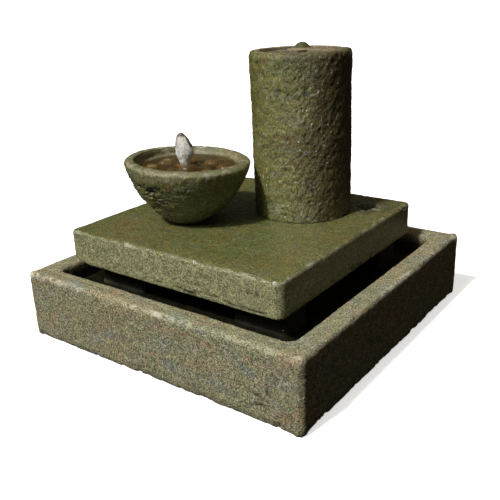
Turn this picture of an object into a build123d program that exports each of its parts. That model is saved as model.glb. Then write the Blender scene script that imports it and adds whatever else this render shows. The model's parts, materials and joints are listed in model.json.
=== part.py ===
"""Tabletop water fountain: basin, slab on four piers, column and bowl in cast stone, and a small pump.

Row frame: origin at the centre of the basin's underside, +Z up, -Y towards the front. Millimetres.
"""

from build123d import *
import math
import os

# Basin: an open square tray.
BASIN_SIDE = 400.0
BASIN_HEIGHT = 85.0
BASIN_WALL = 27.0
BASIN_FLOOR = 22.0
BASIN_CORNER = 7.0
BASIN_INNER_CORNER = 10.0
BASIN_EDGE = 4.0

# Slab: stands a little above the basin's rim, so that water falls off its edges into the basin.
SLAB_AT = (-6.0, -2.0)
SLAB_SIDE = 312.0
SLAB_THICK = 44.0
SLAB_BOTTOM = 92.0
SLAB_TOP = SLAB_BOTTOM + SLAB_THICK
SLAB_CORNER = 8.0
SLAB_EDGE = 4.5
SLAB_PLATE = 18.0
SLAB_POCKET_LONG = 250.0
SLAB_POCKET_SHORT = 170.0
SLAB_POCKET_CORNER = 8.0
POCKET_CEILING = SLAB_TOP - SLAB_PLATE

# Piers and the rubber pads between them and the slab.
PAD_OFFSET = (119.0, 112.0)
PIER_OFFSET = (105.0, 112.0)
PIER_BASE = (76.0, 48.0)
PIER_HEAD = (70.0, 42.0)
PIER_CORNER = 5.0
PAD_SIDE = 34.0
PAD_CORNER = 4.0
PAD_THICK = 3.0

# Column.
COLUMN_AT = (42.0, 58.0)
COLUMN_RADIUS = 61.3
COLUMN_HEIGHT = 201.0
COLUMN_TOP = SLAB_TOP + COLUMN_HEIGHT
COLUMN_BORE = 12.0
DISH_RADIUS = 48.0
DISH_DEPTH = 6.0
COLUMN_EDGE = 3.0
BUSH_LENGTH = 14.0
LOWER_BUSH_INSET = 2.0
UPPER_BUSH_INSET = 1.0
PIPE_BELOW_RIM = 1.5

# Bowl. Heights are measured from the foot.
BOWL_AT = (-62.0, -50.0)
BOWL_FOOT = 24.0
BOWL_BELLY = (55.5, 28.5)
BOWL_RIM = 77.5
BOWL_HEIGHT = 78.4
LIP_DROP = 6.0
LIP_INSET = 6.5
THROAT_DROP = 4.5
THROAT_FLARE = 4.0
BOWL_FLOOR = 22.0
BOWL_FLOOR_RADIUS = 22.0
BOWL_SPHERE = 62.9
BOWL_SPHERE_Z = BOWL_FLOOR + math.sqrt(BOWL_SPHERE**2 - BOWL_FLOOR_RADIUS**2)
BOWL_THROAT_Z = BOWL_HEIGHT - THROAT_DROP
WAIST_ANGLE = math.radians(55)
UNDERCUT = 3.0
BOWL_MOUTH = math.sqrt(BOWL_SPHERE**2 - (BOWL_SPHERE_Z - BOWL_THROAT_Z) ** 2)
BOWL_LEAN_DEG = 3.0
BOWL_LEAN = Axis((0, 0, 0), (-0.6, 0.8, 0))
FOOT_RECESS = 17.0
FOOT_RECESS_DEPTH = 10.0
SPOT_FACE = 14.5
SPOT_FACE_DEPTH = 1.0
NOZZLE_HOLE_GAP = 0.5

# Pipework. Tubes slip over spigots, and each joint has a small gap all round.
GAP = 0.05
SPIGOT = 3.95
SPIGOT_BORE = 2.5
TUBE_OUTER = 5.5
TUBE_INNER = SPIGOT + GAP
PIPE_OUTER = 6.0
PIPE_INNER = 4.4
SOCKET_BORE = PIPE_OUTER + 0.15
SOCKET_OUTER = 11.0
SOCKET_FLANGE = 15.0
SOCKET_FLANGE_THICK = 2.5
SOCKET_LOW = 104.0
SOCKET_STOP = (116.0, 118.0)
PIPE_END_GAP = 0.5
PLUMB_Z = 97.0
HUB_RADIUS = 6.2
HUB_DROP = 7.0
TEE_STEM = (PLUMB_Z - 16.0, PLUMB_Z)
ELBOW_BALL = 7.0
VALVE_RADIUS = 8.0
VALVE_FLAT = (16.0, 1.2)
PLUG_RADIUS = 4.5
PLUG_GAP = 0.1
PLUG_HEAD = (5.5, 0.2, 2.4)
LEVER = (20.0, 4.5, 3.2)
LEVER_OFFSET = 5.0
CLIP_WALL = 0.9
CLIP_WIDTH = 4.0
CLIP_EAR = (4.2, 1.0, 1.4)
CLIP_GAP = (6.0, 1.8)
TEE_AT = tuple((a + b) / 2 for a, b in zip(BOWL_AT, COLUMN_AT))
RUN = math.dist(TEE_AT, COLUMN_AT)
RUN_DEG = math.degrees(math.atan2(COLUMN_AT[1] - BOWL_AT[1], COLUMN_AT[0] - BOWL_AT[0]))
# Distances along a branch, from the tee's centre.
TEE_ARM = (8.0, 18.0)
VALVE_INLET = (20.0, 29.0)
VALVE_BODY = (29.0, 43.0)
VALVE_OUTLET = (43.0, 52.0)
ELBOW_SPIGOT = (RUN - 18.0, RUN - ELBOW_BALL)
TUBE_END_GAP = 0.2

# Pump: its shaft lies along Y and its outlet points up, under the tee.
PUMP_WIDTH = 36.0
PUMP_LOW = 27.0
PUMP_HIGH = 63.0
PUMP_AXIS_Z = (PUMP_LOW + PUMP_HIGH) / 2
MOTOR_FRONT = TEE_AT[1] + 9.0
MOTOR_BACK = MOTOR_FRONT + 36.0
CHAMBER_RADIUS = 12.0
VOLUTE_RADIUS = 15.0
VOLUTE_FRONT = MOTOR_FRONT - 18.0
VOLUTE_WALL = 3.0
WELL_RADIUS = 7.5
WELL_END = MOTOR_BACK - 5.0
COVER_FRONT = VOLUTE_FRONT - 16.0
COVER_WALL = 2.0
COVER_LAP = 3.0
COVER_BACK = MOTOR_FRONT + COVER_LAP
MOTOR_LOW = PUMP_LOW + COVER_WALL + 0.4
MOTOR_HIGH = PUMP_HIGH - COVER_WALL - 0.4
MOTOR_INSET = 5.0
MOTOR_CORNER = 3.0
MOTOR_EDGE = 2.5
GLAND_DROP = 10.0
GLAND_NECK = (5.0, 3.0)
GLAND_BOSS = (6.0, 4.5, 8.0)
FRONT_BUSH_RADIUS = 3.0
REAR_BUSH_RADIUS = 4.0
BUSH_DEPTH = 3.0
SHAFT_RADIUS = 1.5
SHAFT_GAP = 0.03
SHAFT_END_GAP = 0.2
PUMP_OUTLET_TOP = 77.0
OUTLET_BOSS = 5.5
FOOT_SPREAD = 11.0
FOOT_CUP = (5.5, 2.5)
FOOT_PIN = 2.0
FOOT_PIN_HOLE = 3.0
HUB = 4.2
EYE = 7.5
RIB_ANGLES = (90, 210, 330)
RIB_WIDTH = 1.8
SEAL_GROOVE = (14.2, 12.8, 1.4)
SEAL_GAP = 0.1
MAGNET_RADIUS = WELL_RADIUS - 0.7
MAGNET_START = MOTOR_FRONT + 1.5
ROTOR_BORE = SHAFT_RADIUS + 0.08
IMPELLER_HUB = 4.0
SHROUD_THICK = 3.0
BLADES = 6
BLADE = (7.5, 1.4)
BLADE_START = 3.0
COVER_NOTCH = (6.5, 12.5)
SLOTS = 4
SLOT = (6.0, 4.5, 2.2, 20.0)
PORT_RING = 7.0
PORT = 2.4
PORT_ANGLES = (0, 90, 180, 270)
DIAL_RADIUS = 11.0
DIAL_THICK = 2.0
DIAL_GAP = 0.2
DIAL_PIN = 2.0
DIAL_PIN_GAP = 0.1
DIAL_CATCH = (3.2, 1.2)
DIAL_GRIP = (18.0, 2.4, 2.8)

# Stopper in the back wall, split so that it can be put round the pump's lead.
INNER_FACE = BASIN_SIDE / 2 - BASIN_WALL
STOPPER_Z = 42.0
STOPPER_GAP = 0.1
STOPPER_INNER = 13.0
STOPPER_OUTER = 11.5
STOPPER_HEAD = 16.5
STOPPER_HEAD_THICK = 4.0
LEAD_HOLE = 3.6
SLIT = 0.6

STAND = (Align.CENTER, Align.CENTER, Align.MIN)


def rod(radius, low, high):
    """A round bar on the Z axis."""
    return Pos(0, 0, low) * Cylinder(radius, high - low, align=STAND)


def ring(outer, inner, low, high):
    """A tube on the Z axis."""
    return rod(outer, low, high) - rod(inner, low, high)


def taper(low_radius, high_radius, low, high):
    """A truncated cone on the Z axis."""
    return Pos(0, 0, low) * Cone(low_radius, high_radius, high - low, align=STAND)


def block(x, y, low, high, corner):
    """An upright rounded block, centred on the Z axis."""
    return Pos(0, 0, low) * extrude(RectangleRounded(x, y, corner), high - low)


def lay_x(shape):
    """Turns a shape from the Z axis to the X axis."""
    return Rot(0, 90, 0) * shape


def lay_y(shape):
    """Turns a shape from the Z axis to the Y axis."""
    return Rot(-90, 0, 0) * shape


def flat_edges(shape, height):
    """The horizontal edges at one height."""
    return [e for e in shape.edges() if abs(e.bounding_box().min.Z - height) < 1e-4
            and abs(e.bounding_box().max.Z - height) < 1e-4]


def basin():
    body = block(BASIN_SIDE, BASIN_SIDE, 0, BASIN_HEIGHT, BASIN_CORNER)
    body = fillet(flat_edges(body, 0), BASIN_EDGE)
    inside = BASIN_SIDE - 2 * BASIN_WALL
    body -= block(inside, inside, BASIN_FLOOR, BASIN_HEIGHT, BASIN_INNER_CORNER)
    body = fillet(flat_edges(body, BASIN_HEIGHT), BASIN_EDGE)
    hole = taper(STOPPER_INNER + STOPPER_GAP, STOPPER_OUTER + STOPPER_GAP, INNER_FACE, BASIN_SIDE / 2)
    return body - Pos(0, 0, STOPPER_Z) * lay_y(hole)


def stopper():
    plug = taper(STOPPER_INNER, STOPPER_OUTER, INNER_FACE, BASIN_SIDE / 2)
    plug += rod(STOPPER_HEAD, INNER_FACE - STOPPER_HEAD_THICK, INNER_FACE)
    plug -= rod(LEAD_HOLE, INNER_FACE - STOPPER_HEAD_THICK, BASIN_SIDE / 2)
    plug = Pos(0, 0, STOPPER_Z) * lay_y(plug)
    slit_low = STOPPER_Z - STOPPER_HEAD - 1
    slit = Box(SLIT, 2 * BASIN_SIDE, STOPPER_Z - LEAD_HOLE / 2 - slit_low, align=STAND)
    return plug - Pos(0, 0, slit_low) * slit


def pier():
    low = Pos(0, 0, BASIN_FLOOR) * RectangleRounded(*PIER_BASE, PIER_CORNER)
    high = Pos(0, 0, SLAB_BOTTOM - PAD_THICK) * RectangleRounded(*PIER_HEAD, PIER_CORNER)
    return loft([low, high])


def corners(x, y):
    """A name and a place for each of the four corners."""
    for depth, y_sign in (("front", -1), ("back", 1)):
        for side, x_sign in (("left", -1), ("right", 1)):
            yield f"{depth}_{side}", Pos(x_sign * x, y_sign * y, 0)


def pads():
    pad = block(PAD_SIDE, PAD_SIDE, SLAB_BOTTOM - PAD_THICK, SLAB_BOTTOM, PAD_CORNER)
    return [place * pad for _, place in corners(*PAD_OFFSET)]


def slab():
    body = block(SLAB_SIDE, SLAB_SIDE, SLAB_BOTTOM, SLAB_TOP, SLAB_CORNER)
    body = fillet(flat_edges(body, SLAB_TOP) + flat_edges(body, SLAB_BOTTOM), SLAB_EDGE)
    body = Pos(*SLAB_AT, 0) * body
    for x, y in ((SLAB_POCKET_LONG, SLAB_POCKET_SHORT), (SLAB_POCKET_SHORT, SLAB_POCKET_LONG)):
        body -= block(x, y, SLAB_BOTTOM, POCKET_CEILING, SLAB_POCKET_CORNER)
    for x, y in (BOWL_AT, COLUMN_AT):
        body -= Pos(x, y, 0) * rod(SOCKET_OUTER + GAP, POCKET_CEILING, SLAB_TOP)
        body -= Pos(x, y, 0) * rod(SOCKET_FLANGE + GAP, SLAB_TOP - SOCKET_FLANGE_THICK - GAP, SLAB_TOP)
    return body


def socket():
    """Flanged bush in the slab: a pipe plugs in from above and an elbow from below."""
    body = rod(SOCKET_OUTER, SOCKET_LOW, SLAB_TOP)
    body += rod(SOCKET_FLANGE, SLAB_TOP - SOCKET_FLANGE_THICK, SLAB_TOP)
    body -= rod(SOCKET_BORE, SOCKET_STOP[1], SLAB_TOP)
    body -= rod(SPIGOT, SOCKET_STOP[0], SOCKET_STOP[1])
    return body - rod(PIPE_OUTER + GAP, SOCKET_LOW, SOCKET_STOP[0])


def column():
    body = rod(COLUMN_RADIUS, SLAB_TOP, COLUMN_TOP)
    body = fillet(flat_edges(body, COLUMN_TOP), COLUMN_EDGE)
    body -= rod(DISH_RADIUS, COLUMN_TOP - DISH_DEPTH, COLUMN_TOP)
    return body - rod(COLUMN_BORE, SLAB_TOP, COLUMN_TOP - DISH_DEPTH)


LOWER_BUSH_LOW = SLAB_TOP + LOWER_BUSH_INSET
UPPER_BUSH_HIGH = COLUMN_TOP - DISH_DEPTH - UPPER_BUSH_INSET
COLUMN_BUSHES = {
    "lower": (LOWER_BUSH_LOW, LOWER_BUSH_LOW + BUSH_LENGTH),
    "upper": (UPPER_BUSH_HIGH - BUSH_LENGTH, UPPER_BUSH_HIGH),
}


def column_bush(span):
    return ring(COLUMN_BORE - GAP, PIPE_OUTER + GAP, *span)


def column_pipe():
    return ring(PIPE_OUTER, PIPE_INNER, SOCKET_STOP[1] + PIPE_END_GAP, COLUMN_TOP - PIPE_BELOW_RIM)


def bowl():
    """The turned shape leans a little, and its foot, recess and nozzle hole are cut true afterwards."""
    shoulder = (BOWL_RIM, BOWL_HEIGHT - LIP_DROP)
    crest = (BOWL_RIM - LIP_INSET, BOWL_HEIGHT)
    brim = (BOWL_MOUTH + THROAT_FLARE, BOWL_HEIGHT)
    mouth = (BOWL_MOUTH, BOWL_THROAT_Z)
    waist = (BOWL_SPHERE * math.sin(WAIST_ANGLE), BOWL_SPHERE_Z - BOWL_SPHERE * math.cos(WAIST_ANGLE))
    floor_edge = (BOWL_FLOOR_RADIUS, BOWL_FLOOR)
    outer = ThreePointArc((BOWL_FOOT, 0), BOWL_BELLY, shoulder)
    lip = Spline(shoulder, crest, tangents=((0.2, 1), (-1, 0)))
    throat = Spline(brim, mouth, tangents=((-1, 0), (-0.1, -1)))
    inner = ThreePointArc(mouth, waist, floor_edge)
    close = Polyline(floor_edge, (0, BOWL_FLOOR), (0, -UNDERCUT), (BOWL_FOOT, -UNDERCUT), (BOWL_FOOT, 0))
    profile = make_face(outer + lip + Line(crest, brim) + throat + inner + close)
    body = revolve(Plane.XZ * profile, Axis.Z)
    body = body.rotate(BOWL_LEAN, BOWL_LEAN_DEG)
    body -= rod(BOWL_RIM, -BOWL_FOOT, 0)
    body -= rod(FOOT_RECESS, 0, FOOT_RECESS_DEPTH)
    body -= rod(SPOT_FACE, BOWL_FLOOR - SPOT_FACE_DEPTH, BOWL_FLOOR + UNDERCUT)
    body -= rod(PIPE_OUTER + NOZZLE_HOLE_GAP, 0, BOWL_FLOOR)
    return Pos(0, 0, SLAB_TOP) * body


WASHER_RADIUS = 13.0
WASHER_THICK = 2.0
SPOT_Z = SLAB_TOP + BOWL_FLOOR - SPOT_FACE_DEPTH
NOZZLE_COLLAR = (SPOT_Z + WASHER_THICK, SPOT_Z + WASHER_THICK + 3)
NOZZLE_TOP = SLAB_TOP + 52.0
NUT_TOP = SLAB_TOP + FOOT_RECESS_DEPTH - WASHER_THICK
NUT_RADIUS = 10.0
NUT_HEIGHT = 6.0
CAP_LOW = NOZZLE_TOP - 9.0
CAP_HIGH = NOZZLE_TOP + 6.0
CAP_RADIUS = 8.2
CAP_TIP_RADIUS = 5.2
JET_BORE = 3.2


def bowl_nozzle():
    body = rod(PIPE_OUTER, SOCKET_STOP[1] + PIPE_END_GAP, NOZZLE_TOP) + rod(WASHER_RADIUS, *NOZZLE_COLLAR)
    return body - rod(PIPE_INNER, SOCKET_STOP[1] + PIPE_END_GAP, NOZZLE_TOP)


def nozzle_cap():
    """Jet tip that slips over the nozzle."""
    body = rod(CAP_RADIUS, CAP_LOW, NOZZLE_TOP) + taper(CAP_RADIUS, CAP_TIP_RADIUS, NOZZLE_TOP, CAP_HIGH)
    body -= rod(PIPE_OUTER + GAP, CAP_LOW, NOZZLE_TOP + GAP)
    return body - rod(JET_BORE, NOZZLE_TOP, CAP_HIGH)


def lock_nut():
    hexagon = RegularPolygon(radius=NUT_RADIUS, side_count=6)
    body = Pos(0, 0, NUT_TOP - NUT_HEIGHT) * extrude(hexagon, NUT_HEIGHT)
    return body - rod(PIPE_OUTER + GAP, NUT_TOP - NUT_HEIGHT, NUT_TOP)


def washer(low):
    return ring(WASHER_RADIUS, PIPE_OUTER + GAP, low, low + WASHER_THICK)


# Pebbles on the bowl's wall: angle up the wall from straight down, first stone's angle, and how many.
PEBBLE_RINGS = ((32, 10, 6), (57, 30, 9))
# Pebbles heaped on those: distance from the middle, height above the foot, first stone's angle, and how many.
PEBBLE_LAYERS = ((23.5, 45.5, 40, 6), (45.0, 63.0, 10, 9), (23.5, 58.3, 10, 6))
# Half sizes that the stones take in turn: along the ring, across it, and thick.
PEBBLE_SIZES = ((12, 8.5, 6.5), (10, 8, 5.5), (11.5, 9, 6), (9.5, 7.5, 5))
PEBBLE_TURNS = (0, 18, -12, 25, -20)
SEAT_GAP = 0.1


def pebble(i, count):
    """One stone and half its thickness. It lies flat, with its length along its ring."""
    half = PEBBLE_SIZES[(i + count) % len(PEBBLE_SIZES)]
    return Rot(0, 0, 90 + PEBBLE_TURNS[i % len(PEBBLE_TURNS)]) * scale(Sphere(1), by=half), half[2]


def pebbles():
    """Stones that lie on the bowl's inside, which is part of a sphere, and stones heaped on those."""
    stones = []
    for steep, first, count in PEBBLE_RINGS:
        for i in range(count):
            stone, thick = pebble(i, count)
            stone = Pos(0, 0, thick + SEAT_GAP - BOWL_SPHERE) * stone
            stone = Rot(0, 0, first + 360 * i / count) * Rot(0, -steep, 0) * stone
            stones.append(Pos(0, 0, BOWL_SPHERE_Z) * stone)
    for reach, height, first, count in PEBBLE_LAYERS:
        for i in range(count):
            stone, _ = pebble(i, count)
            stones.append(Rot(0, 0, first + 360 * i / count) * Pos(reach, 0, height) * stone)
    return [Pos(0, 0, SLAB_TOP) * stone.rotate(BOWL_LEAN, BOWL_LEAN_DEG) for stone in stones]


def elbow():
    """Turns a branch up into its socket. The branch arrives from -X."""
    high = SOCKET_STOP[0] - PIPE_END_GAP
    body = rod(PIPE_OUTER, PLUMB_Z, high) + Pos(0, 0, PLUMB_Z) * Sphere(ELBOW_BALL)
    arm = lay_x(rod(SPIGOT, ELBOW_SPIGOT[0] - RUN, 0))
    body += Pos(0, 0, PLUMB_Z) * arm
    body -= rod(SPIGOT_BORE, PLUMB_Z - SPIGOT_BORE, high)
    return body - Pos(0, 0, PLUMB_Z) * lay_x(rod(SPIGOT_BORE, ELBOW_SPIGOT[0] - RUN, 0))


def tee():
    arms = lay_x(rod(SPIGOT, -TEE_ARM[1], TEE_ARM[1]) + rod(HUB_RADIUS, -TEE_ARM[0], TEE_ARM[0]))
    bores = lay_x(rod(SPIGOT_BORE, -TEE_ARM[1], TEE_ARM[1]))
    body = Pos(0, 0, PLUMB_Z) * arms + rod(SPIGOT, *TEE_STEM) + rod(HUB_RADIUS, PLUMB_Z - HUB_DROP, PLUMB_Z)
    return body - Pos(0, 0, PLUMB_Z) * bores - rod(SPIGOT_BORE, *TEE_STEM)


def branch_tube(start, end):
    return Pos(0, 0, PLUMB_Z) * lay_x(ring(TUBE_OUTER, TUBE_INNER, start, end))


VALVE_X = sum(VALVE_BODY) / 2
PLUG_LOW = PLUMB_Z - 6.0
PLUG_HIGH = PLUMB_Z + VALVE_RADIUS


def valve_body():
    body = rod(VALVE_RADIUS, *VALVE_BODY) + rod(SPIGOT, VALVE_INLET[0], VALVE_OUTLET[1])
    body = Pos(0, 0, PLUMB_Z) * lay_x(body - rod(SPIGOT_BORE, VALVE_INLET[0], VALVE_OUTLET[1]))
    flat = Pos(VALVE_X, 0, PLUG_HIGH) * Box(VALVE_FLAT[0], VALVE_FLAT[0], VALVE_FLAT[1])
    return body - flat - Pos(VALVE_X, 0, 0) * rod(PLUG_RADIUS + PLUG_GAP, PLUG_LOW - PLUG_GAP, PLUG_HIGH)


def valve_plug():
    """Quarter-turn plug with its lever, which lies along the tube when open."""
    radius, low, high = PLUG_HEAD
    body = rod(PLUG_RADIUS, PLUG_LOW, PLUG_HIGH + high) + rod(radius, PLUG_HIGH + low, PLUG_HIGH + high)
    long, wide, thick = LEVER
    lever_low = PLUG_HIGH + high - PLUG_GAP
    body += Pos(LEVER_OFFSET, 0, 0) * block(long, wide, lever_low, lever_low + thick, wide / 2 - GAP)
    body -= Pos(0, 0, PLUMB_Z) * lay_x(rod(SPIGOT_BORE, -PLUG_RADIUS, PLUG_RADIUS))
    return Pos(VALVE_X, 0, 0) * body


def clamp():
    """Spring clip round a tube: an open ring with two ears, on the X axis."""
    band = ring(TUBE_OUTER + CLIP_WALL, TUBE_OUTER + GAP, -CLIP_WIDTH / 2, CLIP_WIDTH / 2)
    long, thick, apart = CLIP_EAR
    ear = Pos(TUBE_OUTER + GAP + long / 2, 0, 0) * Box(long, thick, CLIP_WIDTH)
    ears = [Pos(0, y, 0) * ear for y in (-apart, apart)]
    gap = Pos(TUBE_OUTER, 0, 0) * Box(CLIP_GAP[0], CLIP_GAP[1], 2 * CLIP_WIDTH)
    return lay_x(band + ears - gap)


RISER_TUBE = (PUMP_HIGH + 3.0, PLUMB_Z - 8.0)
CLAMP_STATIONS = (13.0, 24.5, 47.5, RUN - 13.0)


def clamps():
    """Clips at each tube end along one branch."""
    return [Pos(x, 0, PLUMB_Z) * clamp() for x in CLAMP_STATIONS]


def riser_clamps():
    upright = Rot(0, 90, 0) * clamp()
    return [Pos(0, 0, z) * upright for z in (RISER_TUBE[0] + 5, RISER_TUBE[1] - 4)]


def motor():
    """Sealed motor block, with the rotor's well open to the front."""
    depth = MOTOR_BACK - MOTOR_FRONT
    middle = MOTOR_FRONT + depth / 2
    body = Pos(0, middle, 0) * block(PUMP_WIDTH - MOTOR_INSET, depth, MOTOR_LOW, MOTOR_HIGH, MOTOR_CORNER)
    body = fillet(flat_edges(body, MOTOR_HIGH), MOTOR_EDGE)
    well = lay_y(rod(WELL_RADIUS, MOTOR_FRONT, WELL_END))
    bush = lay_y(rod(REAR_BUSH_RADIUS + GAP, WELL_END, WELL_END + BUSH_DEPTH))
    neck_radius, neck_length = GLAND_NECK
    gland = Pos(0, 0, -GLAND_DROP) * lay_y(rod(neck_radius + GAP, MOTOR_BACK - neck_length, MOTOR_BACK))
    body -= Pos(0, 0, PUMP_AXIS_Z) * (well + bush)
    body -= Pos(0, 0, PUMP_AXIS_Z) * gland
    for x, y in foot_places():
        body -= Pos(x, y, 0) * rod(FOOT_PIN + GAP, MOTOR_LOW, MOTOR_LOW + FOOT_PIN_HOLE)
    return body


def foot_places():
    middle = (MOTOR_FRONT + MOTOR_BACK) / 2
    return [(x, middle + y) for x in (-FOOT_SPREAD, FOOT_SPREAD) for y in (-FOOT_SPREAD, FOOT_SPREAD)]


def suction_feet():
    cup = taper(*FOOT_CUP, BASIN_FLOOR, MOTOR_LOW)
    cup += rod(FOOT_PIN, MOTOR_LOW, MOTOR_LOW + FOOT_PIN_HOLE - GAP)
    return [Pos(x, y, 0) * cup for x, y in foot_places()]


def cord_gland():
    """Moulded boss where the pump's lead is potted in."""
    low_radius, high_radius, length = GLAND_BOSS
    body = rod(GLAND_NECK[0], MOTOR_BACK - GLAND_NECK[1], MOTOR_BACK)
    body += taper(low_radius, high_radius, MOTOR_BACK, MOTOR_BACK + length)
    return Pos(0, 0, PUMP_AXIS_Z - GLAND_DROP) * lay_y(body)


def volute():
    """Impeller chamber: outlet spigot on top, intake eye in front, and a hub that holds the shaft."""
    body = lay_y(rod(VOLUTE_RADIUS, VOLUTE_FRONT, MOTOR_FRONT))
    spigot = rod(OUTLET_BOSS, 0, PUMP_HIGH - VOLUTE_WALL - PUMP_AXIS_Z)
    spigot += rod(SPIGOT, 0, PUMP_OUTLET_TOP - PUMP_AXIS_Z)
    body += Pos(0, TEE_AT[1], 0) * spigot
    body -= lay_y(rod(CHAMBER_RADIUS, VOLUTE_FRONT + VOLUTE_WALL, MOTOR_FRONT))
    body -= Pos(0, TEE_AT[1], 0) * rod(SPIGOT_BORE, EYE, PUMP_OUTLET_TOP - PUMP_AXIS_Z)
    eye = lay_y(ring(EYE, HUB, VOLUTE_FRONT, VOLUTE_FRONT + VOLUTE_WALL))
    for angle in RIB_ANGLES:
        rib = Pos(EYE / 2, VOLUTE_FRONT + VOLUTE_WALL / 2, 0) * Box(2 * EYE, 2 * VOLUTE_WALL, RIB_WIDTH)
        eye -= Rot(0, angle, 0) * rib
    body -= eye
    body -= lay_y(rod(FRONT_BUSH_RADIUS + GAP, FRONT_BUSH[0], VOLUTE_FRONT + VOLUTE_WALL))
    outer, inner, depth = SEAL_GROOVE
    body -= lay_y(ring(outer, inner, MOTOR_FRONT - depth, MOTOR_FRONT))
    return Pos(0, 0, PUMP_AXIS_Z) * body


def volute_seal():
    outer, inner, depth = (side - sign * SEAL_GAP for side, sign in zip(SEAL_GROOVE, (1, -1, 1)))
    return Pos(0, 0, PUMP_AXIS_Z) * lay_y(ring(outer, inner, MOTOR_FRONT - depth, MOTOR_FRONT))


FRONT_BUSH = (VOLUTE_FRONT + 1, VOLUTE_FRONT + 1 + BUSH_DEPTH)
REAR_BUSH = (WELL_END - 1, WELL_END + BUSH_DEPTH)
MAGNET = (MAGNET_START, REAR_BUSH[0] - 0.6)


def shaft_bush(outer, span):
    return Pos(0, 0, PUMP_AXIS_Z) * lay_y(ring(outer, SHAFT_RADIUS + SHAFT_GAP, *span))


def shaft():
    low, high = FRONT_BUSH[0] + SHAFT_END_GAP, REAR_BUSH[1] - SHAFT_END_GAP
    return Pos(0, 0, PUMP_AXIS_Z) * lay_y(rod(SHAFT_RADIUS, low, high))


def magnet():
    return Pos(0, 0, PUMP_AXIS_Z) * lay_y(ring(MAGNET_RADIUS, ROTOR_BORE, *MAGNET))


def impeller():
    shroud = MAGNET[0] - SHROUD_THICK
    blade_low = FRONT_BUSH[1] + 1
    body = ring(IMPELLER_HUB, ROTOR_BORE, FRONT_BUSH[1] + 2 * SHAFT_END_GAP, MAGNET[0])
    body += ring(MAGNET_RADIUS, ROTOR_BORE, shroud, MAGNET[0])
    blade = Pos(BLADE_START + BLADE[0] / 2, 0, (blade_low + shroud) / 2) * Box(*BLADE, shroud - blade_low)
    for i in range(BLADES):
        body += Rot(0, 0, 360 * i / BLADES) * blade
    return Pos(0, 0, PUMP_AXIS_Z) * lay_y(body)


def block_from(front, back, width, low, high):
    """A square-cornered block between two planes along Y."""
    return Pos(0, (front + back) / 2, (low + high) / 2) * Box(width, back - front, high - low)


def intake_cover():
    """Snap-on strainer box: slots on both sides, ports under the dial and a notch for the outlet."""
    depth = COVER_BACK - COVER_FRONT
    middle = COVER_FRONT + depth / 2
    body = Pos(0, middle, 0) * block(PUMP_WIDTH, depth, PUMP_LOW, PUMP_HIGH, MOTOR_CORNER)
    body -= block_from(COVER_FRONT + COVER_WALL, COVER_BACK + 1, PUMP_WIDTH - 2 * COVER_WALL,
                       PUMP_LOW + COVER_WALL, PUMP_HIGH - COVER_WALL)
    reach, width = COVER_NOTCH
    body -= block_from(TEE_AT[1] - reach, COVER_BACK + 1, width, PUMP_HIGH - COVER_WALL - 1, PUMP_HIGH + 1)
    first, pitch, width, height = SLOT
    for i in range(SLOTS):
        body -= Pos(0, COVER_FRONT + first + pitch * i, PUMP_AXIS_Z) * Box(2 * PUMP_WIDTH, width, height)
    front = rod(DIAL_PIN + DIAL_PIN_GAP, COVER_FRONT, COVER_FRONT + COVER_WALL)
    for angle in PORT_ANGLES:
        front += Rot(0, 0, angle) * Pos(PORT_RING, 0, 0) * rod(PORT, COVER_FRONT, COVER_FRONT + COVER_WALL)
    return body - Pos(0, 0, PUMP_AXIS_Z) * lay_y(front)


def flow_dial():
    """Ported disc that turns on a snap pin and covers the ports."""
    back = COVER_FRONT - DIAL_GAP
    front = back - DIAL_THICK
    body = rod(DIAL_RADIUS, front, back)
    for angle in PORT_ANGLES:
        body -= Rot(0, 0, angle) * Pos(PORT_RING, 0, 0) * rod(PORT, front, back)
    catch_radius, catch_thick = DIAL_CATCH
    catch = COVER_FRONT + COVER_WALL + DIAL_GAP
    body += rod(DIAL_PIN, front, catch + catch_thick) + rod(catch_radius, catch, catch + catch_thick)
    body += Rot(0, 0, 45) * Pos(0, 0, front - DIAL_GRIP[2] / 2 + GAP) * Box(*DIAL_GRIP)
    return Pos(0, 0, PUMP_AXIS_Z) * lay_y(body)


def group(solids):
    """Several separate solids in one node."""
    return Compound(children=[s.solid() if hasattr(s, "solid") else s for s in solids])


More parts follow.
